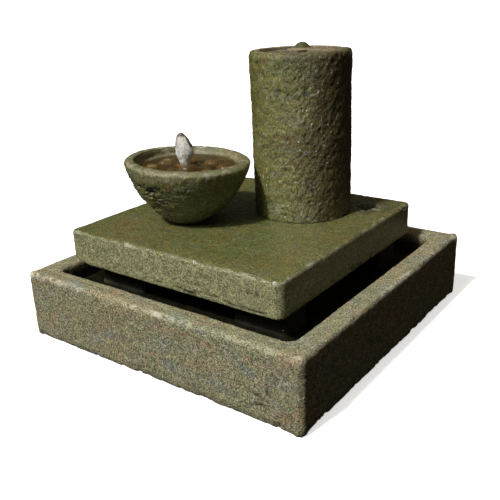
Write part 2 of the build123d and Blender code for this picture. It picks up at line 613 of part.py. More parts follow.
def nodes():
    """Every node's name and shape, in place."""
    at_bowl, at_column = Pos(*BOWL_AT, 0), Pos(*COLUMN_AT, 0)
    at_tee, at_pump = Pos(*TEE_AT, 0), Pos(TEE_AT[0], 0, 0)
    to_column, to_bowl = at_tee * Rot(0, 0, RUN_DEG), at_tee * Rot(0, 0, RUN_DEG + 180)
    yield "basin", basin()
    yield "cord_stopper", stopper()
    for name, place in corners(*PIER_OFFSET):
        yield f"riser_pier_{name}", place * pier()
    yield "pier_pads", group(pads())
    yield "slab", slab()
    yield "column", at_column * column()
    yield "column_pipe", at_column * column_pipe()
    for name, span in COLUMN_BUSHES.items():
        yield f"column_{name}_bush", at_column * column_bush(span)
    yield "bowl", at_bowl * bowl()
    yield "bowl_nozzle", at_bowl * bowl_nozzle()
    yield "bowl_nozzle_cap", at_bowl * nozzle_cap()
    yield "bowl_upper_washer", at_bowl * washer(SPOT_Z)
    yield "bowl_lower_washer", at_bowl * washer(NUT_TOP)
    yield "bowl_lock_nut", at_bowl * lock_nut()
    yield "bowl_pebbles", group([at_bowl * stone for stone in pebbles()])
    yield "pipe_tee", to_column * tee()
    yield "pump_riser_tube", at_tee * ring(TUBE_OUTER, TUBE_INNER, *RISER_TUBE)
    clips = [at_tee * clip for clip in riser_clamps()]
    for name, place, run in (("bowl", at_bowl, to_bowl), ("column", at_column, to_column)):
        yield f"{name}_socket", place * socket()
        yield f"{name}_elbow", run * Pos(RUN, 0, 0) * elbow()
        yield f"{name}_inner_tube", run * branch_tube(TEE_ARM[0] + 0.2, VALVE_INLET[1] - 0.2)
        yield f"{name}_outer_tube", run * branch_tube(VALVE_OUTLET[0] + 0.2, ELBOW_SPIGOT[1] - 0.2)
        yield f"{name}_valve_body", run * valve_body()
        yield f"{name}_valve_plug", run * valve_plug()
        clips += [run * clip for clip in clamps()]
    yield "hose_clamps", group(clips)
    yield "pump_motor", at_pump * motor()
    yield "pump_cord_gland", at_pump * cord_gland()
    yield "pump_suction_feet", group([at_pump * foot for foot in suction_feet()])
    yield "pump_volute", at_pump * volute()
    yield "pump_volute_seal", at_pump * volute_seal()
    yield "pump_front_bush", at_pump * shaft_bush(3, FRONT_BUSH)
    yield "pump_rear_bush", at_pump * shaft_bush(4, REAR_BUSH)
    yield "pump_shaft", at_pump * shaft()
    yield "pump_magnet", at_pump * magnet()
    yield "pump_impeller", at_pump * impeller()
    yield "pump_intake_cover", at_pump * intake_cover()
    yield "pump_flow_dial", at_pump * flow_dial()


os.makedirs("parts", exist_ok=True)
for node, shape in nodes():
    export_step(shape, f"parts/{node}.step")
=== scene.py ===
"""Tabletop water fountain: cast stone, pebbles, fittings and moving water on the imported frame. Metres."""
import json
import math

import bpy
import numpy as np
from mathutils import Matrix, Vector


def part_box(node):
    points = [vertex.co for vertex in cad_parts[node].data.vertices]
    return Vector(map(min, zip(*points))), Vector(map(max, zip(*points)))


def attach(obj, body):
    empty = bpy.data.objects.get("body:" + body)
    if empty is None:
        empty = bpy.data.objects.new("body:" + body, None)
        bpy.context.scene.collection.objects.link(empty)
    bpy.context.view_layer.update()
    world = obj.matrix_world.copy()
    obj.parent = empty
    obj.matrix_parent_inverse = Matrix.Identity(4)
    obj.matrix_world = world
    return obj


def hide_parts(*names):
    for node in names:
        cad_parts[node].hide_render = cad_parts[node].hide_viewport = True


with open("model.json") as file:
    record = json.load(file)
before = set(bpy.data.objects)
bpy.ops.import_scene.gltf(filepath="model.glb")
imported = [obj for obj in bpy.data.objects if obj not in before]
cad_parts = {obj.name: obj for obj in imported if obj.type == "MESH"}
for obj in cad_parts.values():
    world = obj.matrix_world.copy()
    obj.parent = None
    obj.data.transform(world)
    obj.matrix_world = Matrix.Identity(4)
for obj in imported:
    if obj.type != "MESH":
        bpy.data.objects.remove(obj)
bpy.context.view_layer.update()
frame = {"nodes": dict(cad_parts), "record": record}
nodes = frame["nodes"]
MM = 0.001

# ---------------------------------------------------------------- places read from the frame

BASIN_LOW, BASIN_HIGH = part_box("basin")
SLAB_LOW, SLAB_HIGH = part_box("slab")
COLUMN_LOW, COLUMN_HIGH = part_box("column")
CAP_LOW, CAP_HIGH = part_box("bowl_nozzle_cap")
COLUMN_AT = (COLUMN_LOW + COLUMN_HIGH) / 2
COLUMN_RADIUS = (COLUMN_HIGH.x - COLUMN_LOW.x) / 2
BOWL_AT = (CAP_LOW + CAP_HIGH) / 2
SLAB_AT = (SLAB_LOW + SLAB_HIGH) / 2
SLAB_HALF = (SLAB_HIGH.x - SLAB_LOW.x) / 2
SLAB_TOP = SLAB_HIGH.z
BASIN_WALL = 27 * MM
BASIN_WATER = 62 * MM
BASIN_FLOOR = 22 * MM
# How much the column's drum widens from its foot to its top, and how far its top leans.
COLUMN_FLARE = 0.014
COLUMN_LEAN = (-2.0 * MM, -1.5 * MM)
# The bowl's inside is part of a sphere. Its centre and the water line are heights above the slab.
BOWL_SPHERE = 62.9 * MM
BOWL_SPHERE_Z = 80.9 * MM
BOWL_WATER = 69.5 * MM


# ---------------------------------------------------------------- noise

def lattice(x, y, z, seed):
    """A repeatable number from 0 to 1 for each whole-number point."""
    h = (x * 374761393 + y * 668265263 + z * 1440662683 + seed * 974634777) & 0xFFFFFFFF
    h = ((h ^ (h >> 13)) * 1274126177) & 0xFFFFFFFF
    return ((h ^ (h >> 16)) & 0xFFFF) / 65535.0


def noise(points, size, seed=0):
    """Smooth noise from -1 to 1 with bumps about size across. size is a number or one per axis."""
    p = points / np.asarray(size, float)
    cell = np.floor(p).astype(np.int64)
    f = p - cell
    f = f * f * (3 - 2 * f)
    total = np.zeros(len(p))
    for dx in (0, 1):
        for dy in (0, 1):
            for dz in (0, 1):
                share = np.ones(len(p))
                for axis, d in enumerate((dx, dy, dz)):
                    share *= f[:, axis] if d else 1 - f[:, axis]
                total += share * lattice(cell[:, 0] + dx, cell[:, 1] + dy, cell[:, 2] + dz, seed)
    return 2 * total - 1


def fractal(points, size, octaves=4, seed=0, gain=0.5):
    """Layered noise, about -1 to 1."""
    total, weight, scale = np.zeros(len(points)), 0.0, np.asarray(size, float)
    for i in range(octaves):
        total += gain**i * noise(points, scale, seed + 31 * i)
        weight += gain**i
        scale = scale / 2.03
    return total / weight * 1.6


def ridge(points, size, width, seed=0, octaves=2):
    """1 along thin wandering lines and 0 away from them."""
    return np.clip(1 - np.abs(fractal(points, size, octaves, seed)) / width, 0, 1)


def ramp(value, low, high):
    """Smooth step from 0 at low to 1 at high. low may be above high."""
    t = np.clip((value - low) / (high - low), 0, 1)
    return t * t * (3 - 2 * t)


# ---------------------------------------------------------------- meshes

def add_object(name, mesh):
    piece = bpy.data.objects.new(name, mesh)
    bpy.context.scene.collection.objects.link(piece)
    return piece


def smooth(mesh):
    mesh.polygons.foreach_set("use_smooth", np.ones(len(mesh.polygons), bool))
    mesh.update()


def applied(piece):
    """Replaces a piece's mesh with what its modifiers make of it."""
    bpy.context.view_layer.update()
    graph = bpy.context.evaluated_depsgraph_get()
    mesh = bpy.data.meshes.new_from_object(piece.evaluated_get(graph))
    piece.modifiers.clear()
    piece.data = mesh
    return mesh


def remeshed(node, name, voxel):
    """An even, closed mesh of a CAD node's shape, ready to be carved."""
    piece = add_object(name, nodes[node].data.copy())
    piece.data.materials.clear()
    weld = piece.modifiers.new("weld", "WELD")
    weld.merge_threshold = 1e-5
    remesh = piece.modifiers.new("remesh", "REMESH")
    remesh.mode = "VOXEL"
    remesh.voxel_size = voxel
    applied(piece)
    return piece


def read(mesh):
    """Vertex places and normals as arrays."""
    count = len(mesh.vertices)
    places, normals = np.zeros(count * 3), np.zeros(count * 3)
    mesh.vertices.foreach_get("co", places)
    mesh.vertex_normals.foreach_get("vector", normals)
    return places.reshape(-1, 3), normals.reshape(-1, 3)


def carve(piece, places, paint=None):
    """Writes moved vertices and the named values that the material reads."""
    mesh = piece.data
    mesh.vertices.foreach_set("co", places.reshape(-1).astype(np.float32))
    for name, value in (paint or {}).items():
        layer = mesh.attributes.new(name, "FLOAT", "POINT")
        layer.data.foreach_set("value", np.clip(value, 0, 1).astype(np.float32))
    smooth(mesh)


def stand_in(piece, body, slot, material, *replaced):
    """Finishes a piece: its material, the body it rides on and the CAD nodes it stands for. slot is not used.
    """
    piece.data.materials.clear()
    piece.data.materials.append(material)
    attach(piece, body)
    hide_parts(*replaced)


# ---------------------------------------------------------------- materials

class Shader:
    """A material and short ways to add nodes to it."""

    def __init__(self, name):
        self.material = bpy.data.materials.new(name)
        self.material.use_nodes = True
        self.tree = self.material.node_tree
        self.surface = self.tree.nodes["Principled BSDF"]
        self.place = self.add("ShaderNodeTexCoord").outputs["Object"]

    def add(self, kind, **settings):
        node = self.tree.nodes.new(kind)
        for key, value in settings.items():
            setattr(node, key, value)
        return node

    def link(self, source, target):
        self.tree.links.new(source, target)

    def set(self, **values):
        """Sets sockets of the surface shader. Underscores stand for spaces."""
        for key, value in values.items():
            self.surface.inputs[key.replace("_", " ")].default_value = value

    def stretched(self, scale):
        mapping = self.add("ShaderNodeMapping")
        mapping.inputs["Scale"].default_value = scale
        self.link(self.place, mapping.inputs["Vector"])
        return mapping.outputs["Vector"]

    def noise(self, scale, detail=4.0, rough=0.55, warp=0.0, place=None):
        node = self.add("ShaderNodeTexNoise")
        node.inputs["Scale"].default_value = scale
        node.inputs["Detail"].default_value = detail
        node.inputs["Roughness"].default_value = rough
        node.inputs["Distortion"].default_value = warp
        self.link(place or self.place, node.inputs["Vector"])
        return node.outputs["Fac"]

    def cells(self, scale):
        node = self.add("ShaderNodeTexVoronoi", feature="F1")
        node.inputs["Scale"].default_value = scale
        self.link(self.place, node.inputs["Vector"])
        return node.outputs["Distance"]

    def hues(self, scale):
        """Three unrelated noises as one colour."""
        node = self.add("ShaderNodeTexNoise")
        node.inputs["Scale"].default_value = scale
        node.inputs["Detail"].default_value = 3.0
        node.inputs["Roughness"].default_value = 0.6
        self.link(self.place, node.inputs["Vector"])
        return node.outputs["Color"]

    def shade(self, value):
        """A grey colour of that brightness, for multiplying."""
        node = self.add("ShaderNodeCombineColor")
        for socket in node.inputs[:3]:
            self.link(value, socket)
        return node.outputs["Color"]

    def box_edge(self, middle, half, top):
        """Metres outside the 45 degree plane through a box's outer top edges: 0 on the edge, less inside."""
        parts = self.add("ShaderNodeSeparateXYZ")
        self.link(self.place, parts.inputs["Vector"])
        x = self.math("ABSOLUTE", self.math("SUBTRACT", parts.outputs["X"], middle.x), 0)
        y = self.math("ABSOLUTE", self.math("SUBTRACT", parts.outputs["Y"], middle.y), 0)
        side = self.math("SUBTRACT", self.math("MAXIMUM", x, y), half)
        return self.math("ADD", side, self.math("SUBTRACT", parts.outputs["Z"], top))

    def painted(self, name):
        return self.add("ShaderNodeAttribute", attribute_name=name).outputs["Fac"]

    def span(self, value, low, high, to_low=0.0, to_high=1.0):
        node = self.add("ShaderNodeMapRange")
        for key, number in (("From Min", low), ("From Max", high), ("To Min", to_low), ("To Max", to_high)):
            node.inputs[key].default_value = number
        self.link(value, node.inputs["Value"])
        return node.outputs["Result"]

    def math(self, operation, a, b):
        node = self.add("ShaderNodeMath", operation=operation)
        for socket, value in zip(node.inputs, (a, b)):
            if isinstance(value, (int, float)):
                socket.default_value = value
            else:
                self.link(value, socket)
        return node.outputs["Value"]

    def mix(self, share, a, b, blend="MIX"):
        """Colours a and b mixed. Each is a colour or a socket."""
        node = self.add("ShaderNodeMix", data_type="RGBA", blend_type=blend)
        colour_inputs = [s for s in node.inputs if s.type == "RGBA"]
        for socket, value in zip(colour_inputs, (a, b)):
            if isinstance(value, tuple):
                socket.default_value = (*value, 1)
            else:
                self.link(value, socket)
        if isinstance(share, float):
            node.inputs["Factor"].default_value = share
        else:
            self.link(share, node.inputs["Factor"])
        return next(s for s in node.outputs if s.type == "RGBA")

    def bumps(self, *layers):
        """Stacks bump layers. Each is a height, a strength and a depth in metres."""
        normal = None
        for height, strength, depth in layers:
            node = self.add("ShaderNodeBump")
            node.inputs["Strength"].default_value = strength
            node.inputs["Distance"].default_value = depth
            self.link(height, node.inputs["Height"])
            if normal:
                self.link(normal, node.inputs["Normal"])
            normal = node.outputs["Normal"]
        self.link(normal, self.surface.inputs["Normal"])

    def colour(self, socket):
        self.link(socket, self.surface.inputs["Base Color"])

    def roughness(self, socket):
        self.link(socket, self.surface.inputs["Roughness"])


def stone(name, base, green, ochre, grey, wet, grain=1.0, patchy=1.0, edge=None, glint=2.4 * MM):
    """Mottled, sandy cast stone. wet runs from 0, dry, to 1, under a film of water.

    edge is the middle, half width and top of a box whose outer top edges get a pale line: wear and painted
    highlight. glint is the depth of the film's ripples.
    """
    s = Shader(name)
    banded = s.stretched((1, 1, 2.2))
    patches = s.noise(11, 5, 0.6, 0.6, banded)
    stain = s.noise(24, 5, 0.62, 0.9, banded)
    cool = s.noise(37, 4, 0.6, 0.4, banded)
    blotch = s.noise(115, 4, 0.65)
    sand = s.noise(560, 3, 0.7)
    grit = s.noise(1050, 2, 0.6)
    specks = s.cells(720)
    colour = s.mix(s.span(patches, 0.40, 0.60), base, green)
    colour = s.mix(s.span(stain, 0.50, 0.68, 0, 0.85 * patchy), colour, ochre)
    colour = s.mix(s.span(cool, 0.52, 0.66, 0, 0.75 * patchy), colour, grey)
    # Dark brown paint on the side of the column turned from the key light: brown stain and painted shade.
    colour = s.mix(s.painted("rust_and_shade"), colour, (0.062, 0.043, 0.013))
    colour = s.mix(s.painted("film"), colour, (0.27, 0.215, 0.120))
    colour = s.mix(s.math("MULTIPLY", s.painted("dry"), 0.70), colour, (0.262, 0.258, 0.138))
    # Each grain of sand has a tone and a hue of its own.
    for texture, low, high, swing in ((blotch, 0.32, 0.68, 0.28 * patchy), (sand, 0.34, 0.66, 0.60 * grain),
                                      (grit, 0.34, 0.66, 0.50 * grain)):
        tone = s.shade(s.span(texture, low, high, 1 - swing, 1 + swing))
        colour = s.mix(1.0, colour, tone, "MULTIPLY")
    colour = s.mix(0.26 * grain, colour, s.hues(520), "OVERLAY")
    colour = s.mix(s.span(specks, 0.06, 0.16, 0.50 * grain, 0.0), colour, (0.40, 0.38, 0.25))
    # Near-black paint in pits, cracks, creases, the slab's recess, the basin's inside and on the piers:
    # painted shade.
    colour = s.mix(s.painted("painted_shade"), colour, (0.012, 0.011, 0.005))
    # Pale paint: wear, and painted highlights and glints on scuffs, lumps and lips.
    colour = s.mix(s.painted("wear_and_sheen"), colour, (0.42, 0.38, 0.26))
    if edge:
        # A broken pale line along the outer top edges: wear, and a painted highlight where the wet rounded
        # edge catches the key light.
        line = s.span(s.box_edge(*edge), -4.2 * MM, -2.8 * MM)
        broken = s.span(s.noise(75, 5, 0.8), 0.48, 0.58)
        scuffs = s.span(s.noise(17, 2, 0.5), 0.42, 0.62, 0.12, 1.0)
        edge_wear_and_highlight = s.math("MULTIPLY", s.math("MULTIPLY", line, broken), scuffs)
        colour = s.mix(edge_wear_and_highlight, colour, (0.52, 0.48, 0.36))
    s.colour(colour)
    s.roughness(s.span(blotch, 0.3, 0.7, 0.88 - 0.42 * wet, 0.98 - 0.34 * wet))
    s.set(Coat_Weight=min(1.0, 1.1 * wet), Coat_Roughness=0.16, Coat_IOR=1.45)
    s.set(Specular_IOR_Level=0.2 + 0.3 * wet)
    s.bumps((blotch, 0.4, 1.8 * MM), (sand, 0.7 * grain, 0.9 * MM), (grit, 0.5 * grain, 0.4 * MM))
    film = s.add("ShaderNodeBump")
    film.inputs["Strength"].default_value = 0.9
    film.inputs["Distance"].default_value = glint
    s.link(s.noise(170, 3, 0.6), film.inputs["Height"])
    s.link(film.outputs["Normal"], s.surface.inputs["Coat Normal"])
    return s.material


def water(name, tint, cover):
    """A clear film. cover is how much of its tint it lays over what lies under it.

    Its dark paint makes it opaque and dark green, a painted reflection in the water, and "pale" makes that the
    colour of the wet stone.
    """
    s = Shader(name)
    swirl = s.noise(48, 4, 0.6, 1.0)
    colour = s.mix(s.span(swirl, 0.35, 0.65), tuple(0.6 * c for c in tint), tint)
    # Opaque dark green where painted: painted reflection of the dark room in the water.
    hidden = s.mix(s.painted("pale"), (0.060, 0.062, 0.018), (0.250, 0.205, 0.120))
    s.colour(s.mix(s.painted("dark_reflection"), colour, hidden))
    clear = s.span(swirl, 0.3, 0.7, 0.75 * cover, min(1.0, 1.25 * cover))
    s.link(s.math("MAXIMUM", clear, s.painted("dark_reflection")), s.surface.inputs["Alpha"])
    s.roughness(s.span(s.painted("dark_reflection"), 0, 1, 0.08, 0.55))
    s.set(IOR=1.33, Specular_IOR_Level=0.6)
    ripple = s.noise(150, 3, 0.5, 0.5)
    s.bumps((ripple, 0.45, 1.6 * MM))
    return s.material


def froth(name):
    """Aerated water: white inside, and painted dark along its thin edge, a painted refraction of the dark room
    through clear water.
    """
    s = Shader(name)
    streaks = s.noise(1, 4, 0.6, 0.6, s.stretched((260, 260, 110)))
    bubbles = s.noise(520, 3, 0.6)
    colour = s.mix(s.span(streaks, 0.36, 0.64), (0.46, 0.45, 0.38), (0.84, 0.83, 0.75))
    colour = s.mix(s.span(bubbles, 0.50, 0.64, 0, 0.6), colour, (0.97, 0.97, 0.92))
    # The thin edge is painted dark brown: painted refraction of the dark room.
    s.colour(s.mix(s.painted("edge"), colour, (0.060, 0.030, 0.012)))
    s.link(s.span(s.painted("base"), 0, 1, 0.97, 0.25), s.surface.inputs["Alpha"])
    s.roughness(s.span(bubbles, 0.3, 0.7, 0.12, 0.40))
    s.set(IOR=1.33)
    s.bumps((streaks, 0.5, 1.6 * MM), (bubbles, 0.4, 0.6 * MM))
    return s.material


def fitting(name, dark, light, rough, metal=0.0, grain=260.0, bump=0.12):
    """Moulded or machined fittings: slight mottling, handling marks and lime film."""
    s = Shader(name)
    tone = s.noise(60, 4, 0.6)
    marks = s.noise(grain, 3, 0.7)
    film = s.noise(34, 5, 0.65, 0.8)
    colour = s.mix(s.span(tone, 0.35, 0.65), dark, light)
    colour = s.mix(s.span(film, 0.60, 0.74, 0, 0.35), colour, (0.52, 0.50, 0.42))
    s.colour(colour)
    s.roughness(s.span(marks, 0.3, 0.7, rough * 0.8, min(1.0, rough * 1.25)))
    s.set(Metallic=metal)
    s.bumps((marks, bump, 0.3 * MM))
    return s.material


def clear_hose(name):
    """Clear vinyl, faintly clouded."""
    s = Shader(name)
    cloud = s.noise(90, 4, 0.6)
    s.colour(s.mix(s.span(cloud, 0.35, 0.65), (0.80, 0.84, 0.82), (0.90, 0.92, 0.90)))
    s.roughness(s.span(cloud, 0.3, 0.7, 0.12, 0.28))
    s.set(IOR=1.5, Transmission_Weight=0.8)
    return s.material


def pebble_stone(name):
    """Wet river pebbles, orange to brown, with darker bands."""
    s = Shader(name)
    which = s.noise(34, 1, 0.4)
    bands = s.noise(1, 4, 0.6, 1.2, s.stretched((120, 120, 340)))
    colour = s.mix(s.span(which, 0.42, 0.58), (0.070, 0.050, 0.020), (0.40, 0.19, 0.045))
    colour = s.mix(s.span(s.noise(52, 1, 0.4), 0.54, 0.62, 0, 0.8), colour, (0.15, 0.135, 0.060))
    colour = s.mix(s.span(bands, 0.50, 0.70, 0, 0.6), colour, (0.10, 0.055, 0.025))
    s.colour(s.mix(s.span(s.noise(600, 3, 0.7), 0.52, 0.70, 0, 0.35), colour, (0.70, 0.52, 0.30)))
    s.roughness(s.span(bands, 0.3, 0.7, 0.18, 0.36))
    s.set(Coat_Weight=0.6, Coat_Roughness=0.08)
    s.bumps((bands, 0.2, 0.6 * MM))
    return s.material


# ---------------------------------------------------------------- cast stone

def edge_distance(places, low, high):
    """How far each point is from the nearest upright or top outer edge of a box."""
    x = np.minimum(places[:, 0] - low.x, high.x - places[:, 0])
    y = np.minimum(places[:, 1] - low.y, high.y - places[:, 1])
    top = high.z - places[:, 2]
    pair = np.sort(np.stack([np.abs(x), np.abs(y), np.abs(top)], 1), 1)
    return pair[:, 1]


def carve_basin():
    """Sandy walls with chipped edges, a ragged foot and a damp inside painted dark with shade."""
    piece = remeshed("basin", "basin_stone_tray", 2.4 * MM)
    p, n = read(piece.data)
    edge = edge_distance(p, BASIN_LOW, BASIN_HIGH)
    outside = np.maximum(np.abs(p[:, 0]), np.abs(p[:, 1])) > BASIN_HIGH.x - 12 * MM
    rough = fractal(p, 9 * MM, 3, 5, 0.65)
    lift = 0.40 * MM * fractal(p, 60 * MM, 2, 3) + 0.36 * MM * rough + 0.8 * MM * outside
    nearer = np.minimum(np.abs(p[:, 0]), np.abs(p[:, 1]))
    corner = ramp(nearer, BASIN_HIGH.x - 12 * MM, BASIN_HIGH.x - 3 * MM)
    lift += 1.8 * MM * corner
    # Small chips along the edges.
    near = ramp(edge, 6 * MM, 0)
    lift -= 2.2 * MM * near * ramp(fractal(p, 11 * MM, 3, 21, 0.65), 0.30, 1.0)
    # Ragged bottom edge, where the cast was broken out of its mould.
    foot = ramp(p[:, 2], 12 * MM, 1 * MM) * outside
    lift -= 1.6 * MM * foot * ramp(fractal(p, 9 * MM, 3, 47, 0.65), -0.1, 0.8)
    # Stone-like facets low on the front, near the right corner.
    reach = np.hypot((p[:, 0] - 165 * MM) / (36 * MM), (p[:, 2] - 22 * MM) / (26 * MM))
    facet = ramp(reach, 1.0, 0.55) * (p[:, 1] < BASIN_LOW.y + 10 * MM)
    creases = ridge(p, (17 * MM, 17 * MM, 12 * MM), 0.16, 77)
    lift -= facet * (3.0 * MM * creases - 1.2 * MM * fractal(p, 15 * MM, 2, 78))
    pits = ramp(noise(p, 6.0 * MM, 61), 0.66, 0.92) * (n[:, 2] < 0.9)
    lift -= 1.1 * MM * pits
    p = p + n * lift[:, None]
    p[:, 2] = np.maximum(p[:, 2], 0)
    # Scuffs on the outside are painted pale: wear, and painted glints of light.
    scuff_and_glint = ramp(noise(p, 19 * MM, 90), 0.62, 0.85) * ramp(fractal(p, 4 * MM, 3, 91, 0.7), 0.1, 0.7)
    scuff_and_glint = scuff_and_glint * outside
    # Below the rim the inside is damp and painted nearly black: painted shade under the slab.
    wall = np.maximum(np.abs(p[:, 0]), np.abs(p[:, 1])) < BASIN_HIGH.x - BASIN_WALL + 4 * MM
    damp_and_shaded = wall * ramp(p[:, 2], BASIN_HIGH.z - 4 * MM, BASIN_HIGH.z - 16 * MM)
    paint = {
        "wear_and_sheen": 0.55 * scuff_and_glint,
        # Pits, the creases of the facets and the ragged foot are painted dark too: painted shade.
        "painted_shade": 0.45 * pits + 0.9 * facet * creases + 0.30 * foot + 0.92 * damp_and_shaded,
    }
    carve(piece, p, paint)
    return piece


def carve_slab():
    """Rough sides with cracks along their foot, a nearly even top and a worn hollow behind the column."""
    piece = remeshed("slab", "slab_stone_tier", 1.75 * MM)
    p, n = read(piece.data)
    edge = edge_distance(p, SLAB_LOW, SLAB_HIGH)
    q = p - np.array(SLAB_AT)
    rim = np.maximum(np.abs(q[:, 0]), np.abs(q[:, 1])) > SLAB_HALF - 12 * MM
    side = rim * (np.abs(n[:, 2]) < 0.8)
    top = (n[:, 2] > 0.8) * (p[:, 2] > SLAB_TOP - 9 * MM)
    waves, grains = fractal(p, 55 * MM, 2, 103), fractal(p, 7 * MM, 3, 105, 0.65)
    lift = side * (0.4 * MM + 0.6 * MM * waves + 0.38 * MM * grains)
    lift += top * (0.30 * MM * fractal(p, 34 * MM, 2, 111) + 0.16 * MM * fractal(p, 7 * MM, 3, 113))
    # Edges that wander a little in and out.
    near = ramp(edge, 11 * MM, 0) * rim
    lift -= near * 1.4 * MM * ramp(fractal(p, (17 * MM, 17 * MM, 40 * MM), 3, 121), 0.0, 0.9)
    # Layered cracks along the lower half of the sides.
    low = ramp(p[:, 2], SLAB_LOW.z + 22 * MM, SLAB_LOW.z + 9 * MM) * side
    layers = ridge(p, (60 * MM, 60 * MM, 8 * MM), 0.15, 131)
    broken = ramp(fractal(p, 48 * MM, 2, 137), -0.15, 0.30)
    lift -= 2.6 * MM * low * layers * broken
    # A ragged recess in the top, behind the column.
    spot = np.hypot((p[:, 0] - 110 * MM) / (22 * MM), (p[:, 1] - 106 * MM) / (20 * MM))
    spot += 0.55 * fractal(p, 13 * MM, 3, 141)
    recess = ramp(spot, 0.62, 0.45) * top
    lips = ramp(np.abs(spot - 0.80), 0.18, 0.0) * top * ramp(noise(p, 12 * MM, 143), -0.5, 0.1)
    creases = ridge(p, (15 * MM, 9 * MM, 15 * MM), 0.22, 145) * ramp(spot, 1.7, 1.0) * top
    lift += 1.8 * MM * lips - 6.0 * MM * recess - 1.6 * MM * creases
    # The ground round the recess, behind the column, is painted darker: painted shade.
    shade_round_recess = ramp(spot, 1.9, 1.0) * top
    pits = ramp(noise(p, 5.5 * MM, 151), 0.66, 0.92) * side
    lift -= 1.1 * MM * pits
    # What stands on the slab needs a flat seat.
    seat = ramp(np.hypot(p[:, 0] - COLUMN_AT.x, p[:, 1] - COLUMN_AT.y), 60 * MM, 52 * MM)
    seat = np.maximum(seat, ramp(np.hypot(p[:, 0] - BOWL_AT.x, p[:, 1] - BOWL_AT.y), 30 * MM, 22 * MM))
    lift *= 1 - seat * top
    p = p + n * lift[:, None]
    # The front left corner is rounded away underneath.
    sweep = ramp(q[:, 0], -125 * MM, -153 * MM) * ramp(q[:, 2], -2 * MM, -22 * MM)
    sweep = sweep * (q[:, 1] < -100 * MM) * rim
    p[:, 2] += 6 * MM * sweep
    # Scuffs on the sides and the lips round the recess are painted pale: wear, and painted glints.
    scuff_and_glint = ramp(noise(p, 16 * MM, 160), 0.62, 0.85) * ramp(fractal(p, 4 * MM, 3, 161, 0.7), 0.1, 0.8)
    # The recess, its creases and the ground round it are painted nearly black, like the cracks along the foot
    # and the pits: painted shade.
    hollow = np.clip(0.95 * recess + 0.8 * creases + 0.4 * shade_round_recess, 0, 0.97)
    paint = {
        "wear_and_sheen": 0.50 * scuff_and_glint * side + 0.30 * lips,
        "painted_shade": 0.95 * low * layers * broken + 0.55 * pits + hollow,
        "dry": ramp(np.abs(n[:, 2]), 0.85, 0.35) * rim,
    }
    carve(piece, p, paint)
    return piece


def carve_column():
    """Crumbly all round, chipped along its top edge, and painted browner and darker away from the front left:
    brown stain and painted shade.
    """
    piece = remeshed("column", "column_stone_drum", 1.25 * MM)
    p, n = read(piece.data)
    q = p - np.array([COLUMN_AT.x, COLUMN_AT.y, 0])
    out = np.hypot(q[:, 0], q[:, 1])
    skin = ramp(out, COLUMN_RADIUS - 9 * MM, COLUMN_RADIUS - 4 * MM)
    # Noise read through a twist leans its bumps over to one side.
    twist = -(q[:, 2] - COLUMN_LOW.z) / COLUMN_RADIUS * 0.22
    t = np.stack([q[:, 0] * np.cos(twist) - q[:, 1] * np.sin(twist),
                  q[:, 0] * np.sin(twist) + q[:, 1] * np.cos(twist), 0.86 * q[:, 2]], 1)
    lumps = fractal(t, 13 * MM, 3, 203, 0.6)
    crumbs = fractal(t, 3.2 * MM, 2, 209, 0.65)
    pits = ramp(fractal(t, 5.0 * MM, 2, 217), 0.50, 1.0)
    swells = fractal(p, 60 * MM, 2, 221)
    lift = skin * (0.8 * MM * swells + 0.60 * MM * lumps + 0.50 * MM * crumbs - 0.9 * MM * pits)
    # The top edge is chipped unevenly.
    high = ramp(p[:, 2], COLUMN_HIGH.z - 7 * MM, COLUMN_HIGH.z - 0.5 * MM) * skin
    lift -= high * (0.9 * MM + 1.9 * MM * ramp(fractal(p, 10 * MM, 3, 231), -0.1, 0.9))
    p = p + n * lift[:, None]
    # The drum leans and widens very slightly towards its top.
    rise = (q[:, 2] - COLUMN_LOW.z) / (COLUMN_HIGH.z - COLUMN_LOW.z)
    for axis, lean in enumerate(COLUMN_LEAN):
        p[:, axis] += rise * (lean + COLUMN_FLARE * q[:, axis])
    p[:, 2] = np.maximum(p[:, 2], COLUMN_LOW.z)
    dish = (out < 49 * MM) * (p[:, 2] > COLUMN_HIGH.z - 9 * MM)
    # The side away from the front left, where the key light falls less, is painted darker and browner: brown
    # stain and painted shade.
    facing = -(0.42 * q[:, 0] + 0.91 * q[:, 1]) / np.maximum(out, 1e-6)
    brim = (n[:, 2] > 0.6) * (p[:, 2] > COLUMN_HIGH.z - 4 * MM) * ramp(out, 57 * MM, 52 * MM)
    paint = {
        # Raised lumps below the top are painted pale: wear, and painted highlight on the bumps.
        "wear_and_sheen": 0.30 * skin * ramp(lumps + crumbs, 0.7, 1.6) * ramp(p[:, 2], 330 * MM, 310 * MM),
        # Pits are painted dark: painted shade.
        "painted_shade": 0.60 * pits * skin * (1 - brim),
        "film": np.maximum(dish, 0.8 * brim),
        "rust_and_shade": skin * (1 - brim) * ramp(facing + 0.22 * fractal(p, 26 * MM, 3, 241), 0.85, 0.15) * 0.80,
    }
    carve(piece, p, paint)
    return piece


